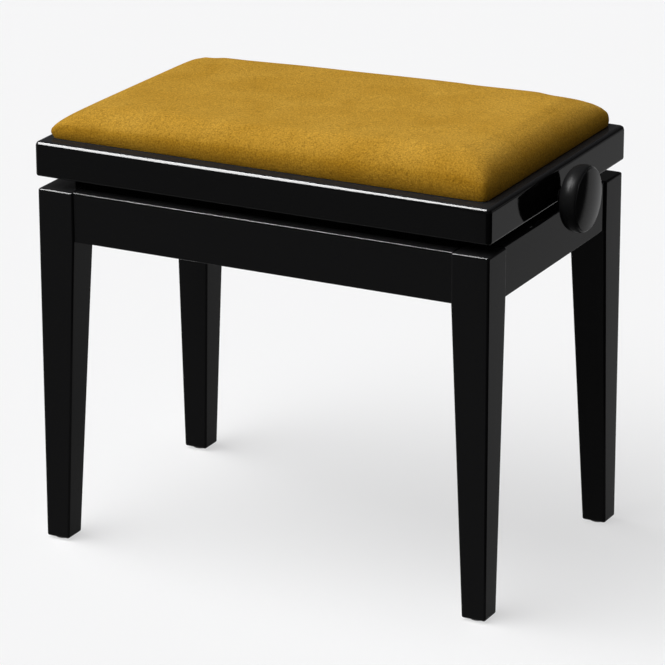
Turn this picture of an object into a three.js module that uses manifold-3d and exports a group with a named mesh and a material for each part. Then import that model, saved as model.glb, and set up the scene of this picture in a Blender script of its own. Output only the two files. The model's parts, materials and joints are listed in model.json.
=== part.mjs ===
// Height-adjustable piano bench. Four tapered legs carry a steel scissor lift, and the lift carries
// a mitred seat frame with an upholstered seat. One knob turns a threaded spindle, whose nut draws
// the scissor arms together and raises the seat. Millimetres, +Z up. The origin is on the floor
// under the middle of the whole bench, knob included; +X points to the knob and -Y to the front.

import * as THREE from 'three';
import { mergeVertices } from 'three/addons/utils/BufferGeometryUtils.js';
import Module from 'manifold-3d';

const wasm = await Module();
wasm.setup();

// General clearances
const fitGap = 0.3; // left between two pieces that touch
const turningGap = 0.3; // round a shaft that turns or a rod that slides
const cutOverrun = 1; // how far a cutting solid runs past the face that it cuts
const weldDepth = 1; // how far a lug reaches into the piece that it is one with

// Seat frame: four mitred rails with a rebate for the seat board
const seatWidth = 550;
const seatDepth = 350;
const railHeight = 40;
const railWidth = 22;
const rimWidth = 15.5; // flat strip of rail that shows round the cushion
const rebateDepth = 12;
const railTopRadius = 5.5;
const railFootRadius = 2.5;
const seatCornerRadius = 5;
const seatGap = 14; // between leg frame and seat frame, as the bench stands at rest
const skirtThickness = 8; // of the strip inside each rail that closes the gap over the apron
const skirtDrop = 16; // how far the strips hang below the rails
const skirtClearance = 1; // between a strip and the apron and legs that it slides past

// Leg frame
const frameHeight = 412; // floor to the top of the legs
const frameInset = 2; // how far the leg frame stands in from the seat frame's faces
const legWidth = 44;
const footWidth = 28.5;
const legEdgeRadius = 2.6;
const legEndRadius = 2;
const apronHeight = 57;
const apronThickness = 18;
const apronSetback = 2.5; // from the legs' outer faces
const apronEdgeRadius = 1.5;
const tenonThickness = 9;
const tenonHeight = 41;
const tenonLength = 16;

// Corner blocks and the diagonal bolts that draw the legs in
const blockReach = 45; // along each apron, from the leg
const blockHeight = 36;
const blockDrop = 8; // of the blocks' middle below the aprons' middle, clear of the skirt strips
const boltRadius = 3;
const boltHeadRadius = 6;
const boltHeadHeight = 4;
const boltHeadSides = 6;
const boltInLeg = 20;

// Foot glides
const glideRadius = 10;
const glideThickness = 2;
const glideEdge = 0.6;
const glideNailRadius = 1.4;
const glideNailLength = 12;

// Crossbars between the long aprons
const crossbarWidth = 36;
const crossbarThickness = 12;
const crossbarFromPivot = 47.5; // along the tracks, from each end's pivot
const crossbarHousing = 6; // depth of its seat in the apron
const crossbarEdgeRadius = 1.2;

// Scissor lift
const travelUp = 85; // from the rest height to the top stop
const travelDown = 12; // from the rest height to the bottom stop
const armLength = 300; // pivot to pivot
const armWidth = 24;
const armThickness = 4;
const trackOffset = 100; // from the bench's middle to each pair of tracks
const trackWidth = 17;
const trackHeight = 27.5;
const trackWall = 2;
const trackEnd = 18; // past the pivots
const lowerPivotRise = 13.7; // above the lower track's floor
const upperPivotDrop = 19; // below the upper track's roof
const rodRadius = 4;
const rodHeadRadius = 6;
const rodHeadThickness = 1.2;
const screwRadius = 2;
const screwHeadRadius = 4.2;
const screwHeadHeight = 1.6;
const screwInWood = 9;

// Spindle and nut
const threadRadius = 6;
const journalRadius = 5;
const endJournalRadius = 4;
const endJournalOverhang = 3;
const nutLength = 26;
const nutWidth = 40;
const nutHeight = 24;
const nutStopGap = 5; // between the nut at its top stop and the end bracket
const collarRadius = 9;
const collarLength = 8;
const bearingThickness = 3;
const bearingWidth = 50;
const bearingHeight = 21;
const bracketThickness = 4;
const bracketWidth = 30;
const bracketFoot = 20;
const bracketBelowAxis = 12;
const washerRadius = 8;
const washerThickness = 1.5;

// Knob
const knobReach = 37; // from the rail's face to the middle of the knob's face
const knobRadius = 37;
const knobFaceRadius = 34.4;
const knobDome = 2.8;
const knobRimRadius = 1.2;
const knobWidestFromFace = 13; // from the middle of the face back to the widest ring
const knobBackRadius = 22;
const knobNeckRadius = 11;
const knobNeckLength = 8.5;
const knobBoreDepth = 18;
const setScrewRadius = 2;
const setScrewLength = 4.6;

// Cushion: a foam pad under a velvet cover
const cushionInset = 0.8; // from the rebate's edge
const cushionHeight = 34; // of the pillow, whose sides are full and whose top is nearly flat
const cushionShoulder = 35; // how far in from the edge the sides go on rising
const cushionCrown = 2; // what the crown adds in the middle
const cushionBulge = 9; // how far the sides swell past the base
const rightRiseShare = 0.16; // how much fuller the cushion is at its right end than in the middle
const frontRiseShare = 0.1; // and at its front
const cushionHem = 1.2; // the upright strip at the foot of the sides
const coverThickness = 2.2;
const foamClearance = 1.4; // between the foam's sides and the cover
const topSharpness = 2.5; // a higher power flattens the top sooner
const sideSharpness = 1.6; // a higher power makes the sides steeper
const cornerSharpness = 1.5; // a higher power keeps the corners square further up
const crownSharpness = 4;
const edgeBand = 48; // strip along the sides whose columns and rows stand closer

// How finely curves are cut into flats
const filletFlats = 2; // in each eighth of a turn
const slotFlats = 5; // in each quarter of a turn
const rodFlats = 20; // in a full turn
const knobFlats = 36;
const outlineFlats = 4; // in each curve of the knob's outline
const coverColumns = 26;
const coverRows = 18;
const edgeRings = 6; // columns or rows in the strip along each side
const liftSamples = 48;

// Places that follow from the sizes
const frameHalfWidth = seatWidth / 2 - frameInset;
const frameHalfDepth = seatDepth / 2 - frameInset;
const apronBottom = frameHeight - apronHeight;
const apronMiddleX = frameHalfWidth - apronSetback - apronThickness / 2;
const apronMiddleY = frameHalfDepth - apronSetback - apronThickness / 2;
const apronInnerX = apronMiddleX - apronThickness / 2;
const apronInnerY = apronMiddleY - apronThickness / 2;
const legInnerX = frameHalfWidth - legWidth;
const legInnerY = frameHalfDepth - legWidth;
const legBottom = glideThickness + fitGap;
const railBottom = frameHeight + seatGap;
const railTop = railBottom + railHeight;
const boardBottom = railTop - rebateDepth + fitGap;
const rimHalfWidth = seatWidth / 2 - rimWidth;
const rimHalfDepth = seatDepth / 2 - rimWidth;
const cushionBottom = railTop + fitGap;

const lowerTrackFloor = apronBottom + crossbarThickness + fitGap;
const lowerPivotHeight = lowerTrackFloor + trackWall + lowerPivotRise;
const upperTrackRoof = boardBottom - fitGap;
const axisHeight = upperTrackRoof - trackWall - upperPivotDrop;
const armSpacing = armThickness + 2 * fitGap;
const rodHalfLength = trackOffset + trackWidth / 2 + fitGap;

// The arms at rest and at the top stop
const restRise = axisHeight - lowerPivotHeight;
const restAngle = Math.asin(restRise / armLength);
const topAngle = Math.asin((restRise + travelUp) / armLength);
const restReach = armLength * Math.cos(restAngle);
const topReach = armLength * Math.cos(topAngle);
const pivotX = -restReach / 2;
const crossbarSpacing = restReach - 2 * crossbarFromPivot;

// The seat, the arms and the nut move in fixed proportion, exact at rest and at the top stop.
// Between them the far ends of the arms need a little play, and this measures how much.
function measurePlay() {
  const play = { along: [0, 0], across: 0, height: 0, reach: [restReach, restReach], nut: [restReach, restReach] };
  for (let step = 0; step <= liftSamples; step += 1) {
    const lift = -travelDown + ((travelUp + travelDown) * step) / liftSamples;
    const angle = restAngle + ((topAngle - restAngle) * lift) / travelUp;
    const nutReach = restReach - ((restReach - topReach) * lift) / travelUp;
    const armReach = armLength * Math.cos(angle);
    const offX = nutReach - armReach;
    const offZ = restRise + lift - armLength * Math.sin(angle);
    const along = offX * Math.cos(angle) + offZ * Math.sin(angle);
    const across = offZ * Math.cos(angle) - offX * Math.sin(angle);
    play.along = [Math.min(play.along[0], along), Math.max(play.along[1], along)];
    play.across = Math.max(play.across, Math.abs(across));
    play.height = Math.max(play.height, Math.abs(offZ));
    play.reach = [Math.min(play.reach[0], armReach), Math.max(play.reach[1], armReach)];
    play.nut = [Math.min(play.nut[0], nutReach), Math.max(play.nut[1], nutReach)];
  }
  return play;
}

const play = measurePlay();

// Places along the spindle, from the bench's middle towards the knob
const nutX = pivotX + restReach;
const nutTopX = pivotX + topReach;
const bracketFace = nutTopX - nutLength / 2 - nutStopGap;
const threadStart = bracketFace + fitGap;
const railInnerX = seatWidth / 2 - railWidth;
const bearingX = railInnerX - fitGap - bearingThickness / 2;
const collarX = bearingX - bearingThickness / 2 - fitGap - collarLength / 2;
const threadEnd = collarX - collarLength / 2 - fitGap;
const washerX = seatWidth / 2 + fitGap + washerThickness / 2;
const knobStart = washerX + washerThickness / 2 + fitGap;
const knobEnd = seatWidth / 2 + knobReach;
const spindleEnd = knobStart + knobBoreDepth;

// Meshes and solids

// A closed mesh with shared vertices, no empty triangles and faces that point outwards
function closed(geometry) {
  const bare = geometry.clone();
  for (const key of Object.keys(bare.attributes)) {
    if (key !== 'position') bare.deleteAttribute(key);
  }
  const merged = mergeVertices(bare);
  const corner = merged.index.array;
  const place = merged.attributes.position;
  const [a, b, c] = [new THREE.Vector3(), new THREE.Vector3(), new THREE.Vector3()];
  const triangles = [];
  let volume = 0;
  for (let i = 0; i < corner.length; i += 3) {
    const [p, q, r] = [corner[i], corner[i + 1], corner[i + 2]];
    if (p === q || q === r || r === p) continue;
    triangles.push([p, q, r]);
    a.fromBufferAttribute(place, p);
    b.fromBufferAttribute(place, q);
    c.fromBufferAttribute(place, r);
    volume += a.dot(b.cross(c));
  }
  const facing = volume < 0 ? triangles.map(([p, q, r]) => [p, r, q]) : triangles;
  merged.setIndex(facing.flat());
  return merged;
}

function toSolid(geometry) {
  const mesh = closed(geometry);
  return new wasm.Manifold(new wasm.Mesh({
    numProp: 3,
    vertProperties: new Float32Array(mesh.attributes.position.array),
    triVerts: new Uint32Array(mesh.index.array),
  }));
}

function fromSolid(solid) {
  const mesh = solid.getMesh();
  const geometry = new THREE.BufferGeometry();
  geometry.setAttribute('position', new THREE.BufferAttribute(new Float32Array(mesh.vertProperties), 3));
  geometry.setIndex(new THREE.BufferAttribute(new Uint32Array(mesh.triVerts), 1));
  return geometry;
}

function cut(geometry, ...tools) {
  return fromSolid(tools.reduce((solid, tool) => solid.subtract(toSolid(tool)), toSolid(geometry)));
}

function join(geometry, ...others) {
  return fromSolid(others.reduce((solid, other) => solid.add(toSolid(other)), toSolid(geometry)));
}

function common(geometry, other) {
  return fromSolid(toSolid(geometry).intersect(toSolid(other)));
}

// Moves every vertex by a rule of its place
function reshape(geometry, rule) {
  const shaped = closed(geometry);
  const place = shaped.attributes.position;
  const point = new THREE.Vector3();
  for (let i = 0; i < place.count; i += 1) {
    point.fromBufferAttribute(place, i);
    rule(point);
    place.setXYZ(i, point.x, point.y, point.z);
  }
  return shaped;
}

function box(sizeX, sizeY, sizeZ, x, y, z) {
  return new THREE.BoxGeometry(sizeX, sizeY, sizeZ).translate(x, y, z);
}

// Turns a shape that was drawn flat and extruded: along X its drawing lies in YZ, along Y in XZ
const alongX = new THREE.Matrix4().makeBasis(
  new THREE.Vector3(0, 1, 0), new THREE.Vector3(0, 0, 1), new THREE.Vector3(1, 0, 0));
const alongY = new THREE.Matrix4().makeBasis(
  new THREE.Vector3(1, 0, 0), new THREE.Vector3(0, 0, 1), new THREE.Vector3(0, -1, 0));
const alongZ = new THREE.Matrix4();

function bar(shape, length, direction, curveSegments = filletFlats) {
  const geometry = new THREE.ExtrudeGeometry(shape, {
    depth: length, bevelEnabled: false, curveSegments,
  });
  return geometry.translate(0, 0, -length / 2).applyMatrix4(direction);
}

function circleOutline(radius) {
  return new THREE.Shape().absarc(0, 0, radius, 0, 2 * Math.PI);
}

function rod(radius, length, direction) {
  return bar(circleOutline(radius), length, direction, rodFlats / 2);
}

// A turned piece: the outline runs from the axis round the outside and back to the axis
function turned(points, segments = rodFlats) {
  return closed(new THREE.LatheGeometry(points, segments)).rotateX(Math.PI / 2);
}

function roundedRectangle(width, height, radius) {
  const [x, y] = [width / 2, height / 2];
  const shape = new THREE.Shape();
  shape.moveTo(-x + radius, -y);
  shape.absarc(x - radius, -y + radius, radius, -Math.PI / 2, 0);
  shape.absarc(x - radius, y - radius, radius, 0, Math.PI / 2);
  shape.absarc(-x + radius, y - radius, radius, Math.PI / 2, Math.PI);
  shape.absarc(-x + radius, -y + radius, radius, Math.PI, 1.5 * Math.PI);
  return shape;
}

// A slot's outline: two half circles whose centres stand at start and end
function slotOutline(start, end, radius, Outline = THREE.Shape) {
  const outline = new Outline();
  outline.absarc(end, 0, radius, -Math.PI / 2, Math.PI / 2);
  outline.absarc(start, 0, radius, Math.PI / 2, 1.5 * Math.PI);
  return outline;
}

// Finishes
const finishes = {
  lacquer: { color: 0x0b0b0c, roughness: 0.12, metalness: 0 },
  velvet: { color: 0xb48c3c, roughness: 0.95, metalness: 0 },
  foam: { color: 0xe6dfc4, roughness: 0.9, metalness: 0 },
  plywood: { color: 0xc29a66, roughness: 0.75, metalness: 0 },
  beech: { color: 0xb98a55, roughness: 0.7, metalness: 0 },
  zinc: { color: 0xa9adb2, roughness: 0.38, metalness: 1 },
  steel: { color: 0x8d9196, roughness: 0.3, metalness: 1 },
  brass: { color: 0xb08d45, roughness: 0.35, metalness: 1 },
  nylon: { color: 0x1d1d1f, roughness: 0.5, metalness: 0 },
};

function add(group, name, geometry, finish) {
  const surface = closed(geometry);
  surface.computeVertexNormals();
  const mesh = new THREE.Mesh(surface, new THREE.MeshStandardMaterial(finishes[finish]));
  mesh.name = name;
  group.add(mesh);
  return mesh;
}

const sides = [{ name: 'front', sign: -1 }, { name: 'rear', sign: 1 }];
const ends = [{ name: 'left', sign: -1 }, { name: 'right', sign: 1 }];

// Legs

// A block whose edges and ends are rounded, tapered below the aprons on its two inner faces
function legSolid(signX, signY) {
  const length = frameHeight - legBottom;
  const depth = length - 2 * legEndRadius;
  const block = new THREE.ExtrudeGeometry(roundedRectangle(legWidth, legWidth, legEdgeRadius), {
    depth,
    steps: 2,
    curveSegments: filletFlats,
    bevelEnabled: true,
    bevelSize: legEndRadius,
    bevelThickness: legEndRadius,
    bevelOffset: -legEndRadius,
    bevelSegments: filletFlats,
  });
  const middleX = signX * (frameHalfWidth - legWidth / 2);
  const middleY = signY * (frameHalfDepth - legWidth / 2);
  return reshape(block, (point) => {
    const midRing = Math.abs(point.z - depth / 2) < cutOverrun;
    const height = midRing ? apronBottom : legBottom + legEndRadius + point.z;
    const fall = Math.max(0, apronBottom - height) / (apronBottom - legBottom);
    const width = legWidth + (footWidth - legWidth) * fall;
    const inwardX = ((legWidth / 2 - signX * point.x) * width) / legWidth;
    const inwardY = ((legWidth / 2 - signY * point.y) * width) / legWidth;
    point.x = middleX + signX * (legWidth / 2 - inwardX);
    point.y = middleY + signY * (legWidth / 2 - inwardY);
    point.z = height;
  });
}

function addLegs(group) {
  const mortiseThickness = tenonThickness + 2 * fitGap;
  const mortiseHeight = tenonHeight + 2 * fitGap;
  const mortiseLength = tenonLength + fitGap;
  const tenonZ = apronBottom + apronHeight / 2;
  const boreLength = boltInLeg + fitGap;
  for (const side of sides) {
    for (const end of ends) {
      const alongFront = box(mortiseLength + cutOverrun, mortiseThickness, mortiseHeight,
        end.sign * (legInnerX + (mortiseLength - cutOverrun) / 2), side.sign * apronMiddleY, tenonZ);
      const alongSide = box(mortiseThickness, mortiseLength + cutOverrun, mortiseHeight,
        end.sign * apronMiddleX, side.sign * (legInnerY + (mortiseLength - cutOverrun) / 2), tenonZ);
      const bore = rod(boltRadius + fitGap, boreLength + cutOverrun, alongX)
        .translate((boreLength - cutOverrun) / 2, 0, 0)
        .rotateZ(Math.atan2(side.sign, end.sign))
        .translate(end.sign * legInnerX, side.sign * legInnerY, tenonZ - blockDrop);
      const nailHole = rod(glideNailRadius + fitGap, glideNailLength + cutOverrun, alongZ)
        .translate(footX(end.sign), footY(side.sign), legBottom + (glideNailLength - cutOverrun) / 2);
      const leg = cut(legSolid(end.sign, side.sign), alongFront, alongSide, bore, nailHole);
      add(group, `leg_${side.name}_${end.name}`, leg, 'lacquer');
    }
  }
}

function footX(sign) {
  return sign * (frameHalfWidth - footWidth / 2);
}

function footY(sign) {
  return sign * (frameHalfDepth - footWidth / 2);
}

// Foot glides: a nylon disc on a nail
function addGlides(group) {
  const outline = [
    new THREE.Vector2(0, 0),
    new THREE.Vector2(glideRadius - glideEdge, 0),
    new THREE.Vector2(glideRadius, glideEdge),
    new THREE.Vector2(glideRadius, glideThickness),
    new THREE.Vector2(glideNailRadius, glideThickness),
    new THREE.Vector2(glideNailRadius, glideThickness + glideNailLength - fitGap),
    new THREE.Vector2(0, glideThickness + glideNailLength),
  ];
  for (const side of sides) {
    for (const end of ends) {
      const glide = add(group, `foot_glide_${side.name}_${end.name}`, turned(outline), 'nylon');
      glide.position.set(footX(end.sign), footY(side.sign), 0);
    }
  }
}

// Aprons

function apronSolid(length, direction) {
  const board = bar(roundedRectangle(apronThickness, apronHeight, apronEdgeRadius), length, direction);
  const tenon = bar(roundedRectangle(tenonThickness, tenonHeight, apronEdgeRadius),
    length + 2 * (tenonLength + fitGap), direction);
  return join(board, tenon);
}

function addAprons(group) {
  const middleZ = apronBottom + apronHeight / 2;
  const longLength = 2 * (legInnerX - fitGap);
  const shortLength = 2 * (legInnerY - fitGap);
  const notchZ = apronBottom + (crossbarThickness + fitGap - cutOverrun) / 2;
  for (const side of sides) {
    const notches = ends.map((end) => box(
      crossbarWidth + 2 * fitGap, crossbarHousing + cutOverrun, crossbarThickness + fitGap + cutOverrun,
      (end.sign * crossbarSpacing) / 2, side.sign * (apronInnerY + (crossbarHousing - cutOverrun) / 2), notchZ));
    const apron = apronSolid(longLength, alongX).translate(0, side.sign * apronMiddleY, middleZ);
    add(group, `apron_${side.name}`, cut(apron, ...notches), 'lacquer');
  }
  for (const end of ends) {
    const apron = apronSolid(shortLength, alongY).translate(end.sign * apronMiddleX, 0, middleZ);
    add(group, `apron_${end.name}`, apron, 'lacquer');
  }
}

// Corner blocks, notched round the legs' inner corners, and their bolts
function addCorners(group) {
  const middleZ = apronBottom + apronHeight / 2 - blockDrop;
  const [nearX, nearY] = [legInnerX - fitGap, legInnerY - fitGap];
  const [wallX, wallY] = [apronInnerX - fitGap, apronInnerY - fitGap];
  const faceSum = nearX - blockReach + wallY;
  const blockOnDiagonal = (nearX + nearY - faceSum) / Math.SQRT2;
  const boltLength = blockOnDiagonal + boltInLeg;
  for (const side of sides) {
    for (const end of ends) {
      const outline = new THREE.Shape([
        new THREE.Vector2(nearX, nearY),
        new THREE.Vector2(nearX, wallY),
        new THREE.Vector2(nearX - blockReach, wallY),
        new THREE.Vector2(wallX, nearX - blockReach + wallY - wallX),
        new THREE.Vector2(wallX, nearY),
      ].map((point) => new THREE.Vector2(end.sign * point.x, side.sign * point.y)));
      const turn = Math.atan2(side.sign, end.sign);
      const hole = rod(boltRadius + fitGap, 2 * boltLength, alongX).rotateZ(turn)
        .translate(end.sign * nearX, side.sign * nearY, middleZ);
      const block = cut(bar(outline, blockHeight, alongZ).translate(0, 0, middleZ), hole);
      add(group, `corner_block_${side.name}_${end.name}`, block, 'beech');

      const shank = rod(boltRadius, boltLength + boltHeadHeight, alongX)
        .translate((boltLength - boltHeadHeight) / 2, 0, 0);
      const head = bar(circleOutline(boltHeadRadius), boltHeadHeight, alongX, boltHeadSides / 2)
        .translate(-boltHeadHeight / 2, 0, 0);
      const bolt = add(group, `corner_bolt_${side.name}_${end.name}`, join(shank, head), 'zinc');
      const headGap = blockOnDiagonal / Math.SQRT2 + fitGap / Math.SQRT2;
      bolt.rotation.z = turn;
      bolt.position.set(end.sign * (nearX - headGap), side.sign * (nearY - headGap), middleZ);
    }
  }
}

// Screws that hold the tracks, head at z = 0 and shank upwards
function screwSolid() {
  const length = trackWall + fitGap + screwInWood;
  return turned([
    new THREE.Vector2(0, -screwHeadHeight),
    new THREE.Vector2(screwHeadRadius - screwHeadHeight / 2, -screwHeadHeight),
    new THREE.Vector2(screwHeadRadius, 0),
    new THREE.Vector2(screwRadius, 0),
    new THREE.Vector2(screwRadius, length - screwRadius),
    new THREE.Vector2(0, length),
  ]);
}

function screwPlaces() {
  const places = [];
  for (const side of sides) {
    for (const end of ends) {
      places.push({
        label: `${side.name}_${end.name}`, x: (end.sign * crossbarSpacing) / 2, y: side.sign * trackOffset,
      });
    }
  }
  return places;
}

function screwHole(place, z, depth) {
  return rod(screwRadius + fitGap, depth, alongZ).translate(place.x, place.y, z);
}

// Crossbars: battens housed in the long aprons
function addCrossbars(group) {
  const length = 2 * (apronInnerY + crossbarHousing - fitGap);
  const middleZ = apronBottom + crossbarThickness / 2;
  for (const end of ends) {
    const batten = bar(roundedRectangle(crossbarWidth, crossbarThickness, crossbarEdgeRadius), length, alongY)
      .translate((end.sign * crossbarSpacing) / 2, 0, middleZ);
    const top = apronBottom + crossbarThickness;
    const depth = 2 * (screwInWood + fitGap);
    const holes = screwPlaces().filter((place) => Math.sign(place.x) === end.sign)
      .map((place) => screwHole(place, top, depth));
    add(group, `crossbar_${end.name}`, cut(batten, ...holes), 'beech');
  }
}

// Tracks: steel channels, slotted where a rod slides and drilled where a rod stands still
function trackSolid(opening, slotReach, slotRadius) {
  const [outer, inner] = [trackWidth / 2, trackWidth / 2 - trackWall];
  const profile = new THREE.Shape([
    [-outer, 0], [outer, 0], [outer, trackHeight], [inner, trackHeight],
    [inner, trackWall], [-inner, trackWall], [-inner, trackHeight], [-outer, trackHeight],
  ].map(([y, z]) => new THREE.Vector2(y, opening * z)));
  const length = restReach + 2 * trackEnd;
  const channel = bar(profile, length, alongX);
  const pivotZ = opening * (trackWall + (opening > 0 ? lowerPivotRise : upperPivotDrop));
  const pivotHole = rod(rodRadius + turningGap, trackWidth + cutOverrun, alongY).translate(pivotX, 0, pivotZ);
  const slot = bar(slotOutline(pivotX + slotReach[0], pivotX + slotReach[1], slotRadius),
    trackWidth + cutOverrun, alongY, slotFlats).translate(0, 0, pivotZ);
  return cut(channel, pivotHole, slot);
}

function addTracks(group, level, opening, floor, slotReach, slotRadius) {
  for (const side of sides) {
    const y = side.sign * trackOffset;
    const holes = screwPlaces().filter((place) => Math.sign(place.y) === side.sign)
      .map((place) => screwHole(place, floor, 2 * (trackWall + cutOverrun)));
    const track = trackSolid(opening, slotReach, slotRadius).translate(0, y, floor);
    add(group, `${level}_track_${side.name}`, cut(track, ...holes), 'zinc');
  }
  for (const place of screwPlaces()) {
    const screw = add(group, `${level}_track_screw_${place.label}`, screwSolid(), 'steel');
    screw.position.set(place.x, place.y, floor + opening * (trackWall + fitGap));
    if (opening > 0) screw.rotation.x = Math.PI;
  }
}

// Rods: a round bar across the bench with a riveted head at each end
function headedRod(halfLength) {
  const shank = rod(rodRadius, 2 * (halfLength + weldDepth), alongY);
  const heads = [-1, 1].map((sign) => rod(rodHeadRadius, rodHeadThickness, alongY)
    .translate(0, sign * (halfLength + rodHeadThickness / 2), 0));
  return join(shank, ...heads);
}

// Arms

function armSolid(middleRadius, farHole) {
  const outline = slotOutline(0, armLength, armWidth / 2);
  outline.holes.push(slotOutline(0, 0, rodRadius + turningGap, THREE.Path));
  outline.holes.push(slotOutline(armLength / 2, armLength / 2, middleRadius, THREE.Path));
  outline.holes.push(farHole);
  return bar(outline, armThickness, alongY, slotFlats);
}

function addArms(group) {
  const slotRadius = rodRadius + turningGap + play.across;
  const nutSlot = slotOutline(armLength + play.along[0], armLength + play.along[1], slotRadius, THREE.Path);
  const rodHole = slotOutline(armLength, armLength, rodRadius + fitGap, THREE.Path);
  const risingArm = armSolid(rodRadius + fitGap, nutSlot);
  const fallingArm = armSolid(rodRadius + turningGap + play.height, rodHole);
  const pinLength = armSpacing;
  const pinHeads = [-1, 1].map((sign) => rod(rodHeadRadius, rodHeadThickness, alongY)
    .translate(0, sign * (pinLength + rodHeadThickness / 2), 0));
  const pin = join(rod(rodRadius, 2 * (pinLength + rodHeadThickness / 2), alongY), ...pinHeads);
  const middleX = pivotX + restReach / 2;
  const middleZ = lowerPivotHeight + restRise / 2;

  for (const side of sides) {
    const rising = add(group, `rising_arm_${side.name}`, risingArm, 'zinc');
    rising.position.set(pivotX, side.sign * (trackOffset - armSpacing / 2), lowerPivotHeight);
    rising.rotation.y = -restAngle;
    const falling = add(group, `falling_arm_${side.name}`, fallingArm, 'zinc');
    falling.position.set(pivotX, side.sign * (trackOffset + armSpacing / 2), axisHeight);
    falling.rotation.y = restAngle;
    const centrePin = add(group, `centre_pin_${side.name}`, pin, 'steel');
    centrePin.position.set(middleX, side.sign * trackOffset, middleZ);
  }

  const lowerRod = add(group, 'lower_pivot_rod', headedRod(rodHalfLength), 'steel');
  lowerRod.position.set(pivotX, 0, lowerPivotHeight);
  const slidingRod = add(group, 'lower_sliding_rod', headedRod(rodHalfLength), 'steel');
  slidingRod.position.set(nutX, 0, lowerPivotHeight);
  const upperRod = add(group, 'upper_pivot_rod', headedRod(rodHalfLength), 'steel');
  upperRod.position.set(pivotX, 0, axisHeight);
}

// Spindle, nut and bearings, all on the spindle's axis

// Turns an outline of [distance along the spindle, radius] pairs about that axis
function turnedAlongX(pairs, segments = rodFlats) {
  const points = pairs.map(([along, radius]) => new THREE.Vector2(radius, along));
  return turned(points, segments).rotateY(Math.PI / 2);
}

function ring(innerRadius, outerRadius, length) {
  const outline = circleOutline(outerRadius);
  outline.holes.push(circleOutline(innerRadius));
  return bar(outline, length, alongX, rodFlats / 2);
}

function addSpindle(group) {
  const start = bracketFace - bracketThickness - endJournalOverhang;
  const spindle = turnedAlongX([
    [start, 0], [start, endJournalRadius], [threadStart, endJournalRadius], [threadStart, threadRadius],
    [threadEnd, threadRadius], [threadEnd, journalRadius], [spindleEnd, journalRadius], [spindleEnd, 0],
  ]);
  add(group, 'spindle', spindle, 'steel').position.z = axisHeight;

  const block = box(nutLength, nutWidth, nutHeight, 0, 0, 0);
  const bore = rod(threadRadius + turningGap, nutLength + cutOverrun, alongX);
  const lugLength = rodHalfLength - nutWidth / 2 + weldDepth;
  const lugs = sides.flatMap((side) => [
    rod(rodRadius, lugLength + weldDepth, alongY)
      .translate(0, side.sign * (rodHalfLength + weldDepth - (lugLength + weldDepth) / 2), 0),
    rod(rodHeadRadius, rodHeadThickness, alongY)
      .translate(0, side.sign * (rodHalfLength + rodHeadThickness / 2), 0),
  ]);
  const nut = add(group, 'spindle_nut', cut(join(block, ...lugs), bore), 'brass');
  nut.position.set(nutX, 0, axisHeight);

  const collar = add(group, 'thrust_collar', ring(journalRadius + fitGap, collarRadius, collarLength), 'steel');
  collar.position.set(collarX, 0, axisHeight);

  const plateMiddle = railBottom + fitGap + bearingHeight / 2;
  const plate = box(bearingThickness, bearingWidth, bearingHeight, 0, 0, plateMiddle - axisHeight);
  const plateBore = rod(journalRadius + turningGap, bearingThickness + cutOverrun, alongX);
  const bearing = add(group, 'bearing_plate', cut(plate, plateBore), 'zinc');
  bearing.position.set(bearingX, 0, axisHeight);

  const washer = add(group, 'knob_washer', ring(journalRadius + turningGap, washerRadius, washerThickness), 'nylon');
  washer.position.set(washerX, 0, axisHeight);

  // An angle under the seat board that carries the spindle's far end
  const [top, bottom] = [upperTrackRoof, axisHeight - bracketBelowAxis];
  const profile = new THREE.Shape([
    [bracketFace, top], [bracketFace - bracketFoot, top], [bracketFace - bracketFoot, top - bracketThickness],
    [bracketFace - bracketThickness, top - bracketThickness], [bracketFace - bracketThickness, bottom],
    [bracketFace, bottom],
  ].map(([x, z]) => new THREE.Vector2(x, z)));
  const bracketBore = rod(endJournalRadius + turningGap, bracketFoot, alongX).translate(bracketFace, 0, axisHeight);
  add(group, 'end_bracket', cut(bar(profile, bracketWidth, alongY), bracketBore), 'zinc');
}

// Knob: a domed disc on a short neck, bored for the spindle
function addKnob(group) {
  const back = knobStart + knobNeckLength;
  const widest = knobEnd - knobWidestFromFace;
  const rim = knobEnd - knobDome;
  const outline = new THREE.Path();
  outline.moveTo(spindleEnd + fitGap, 0);
  outline.lineTo(spindleEnd + fitGap, journalRadius + fitGap);
  outline.lineTo(knobStart, journalRadius + fitGap);
  outline.lineTo(knobStart, knobNeckRadius);
  outline.lineTo(back, knobNeckRadius);
  outline.lineTo(back, knobBackRadius);
  outline.bezierCurveTo(back, knobRadius - knobRimRadius, back + knobRimRadius, knobRadius, widest, knobRadius);
  outline.quadraticCurveTo(rim - knobRimRadius, knobRadius, rim - knobRimRadius, knobFaceRadius);
  outline.quadraticCurveTo(rim, knobFaceRadius, rim, knobFaceRadius - knobRimRadius);
  outline.quadraticCurveTo(knobEnd, knobFaceRadius / 2, knobEnd, 0);
  const pairs = outline.getPoints(outlineFlats).map((point) => [point.x, point.y]);
  const screwX = knobStart + knobNeckLength / 2;
  const screwZ = -(journalRadius + fitGap + setScrewLength / 2);
  const screwBore = rod(setScrewRadius + fitGap, knobNeckRadius, alongZ)
    .translate(screwX, 0, -journalRadius - knobNeckRadius / 2);
  const knob = add(group, 'knob', cut(turnedAlongX(pairs, knobFlats), screwBore), 'lacquer');
  knob.position.z = axisHeight;
  const setScrew = add(group, 'knob_set_screw', rod(setScrewRadius, setScrewLength, alongZ), 'steel');
  setScrew.position.set(screwX, 0, axisHeight + screwZ);
}

// Seat frame

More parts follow.
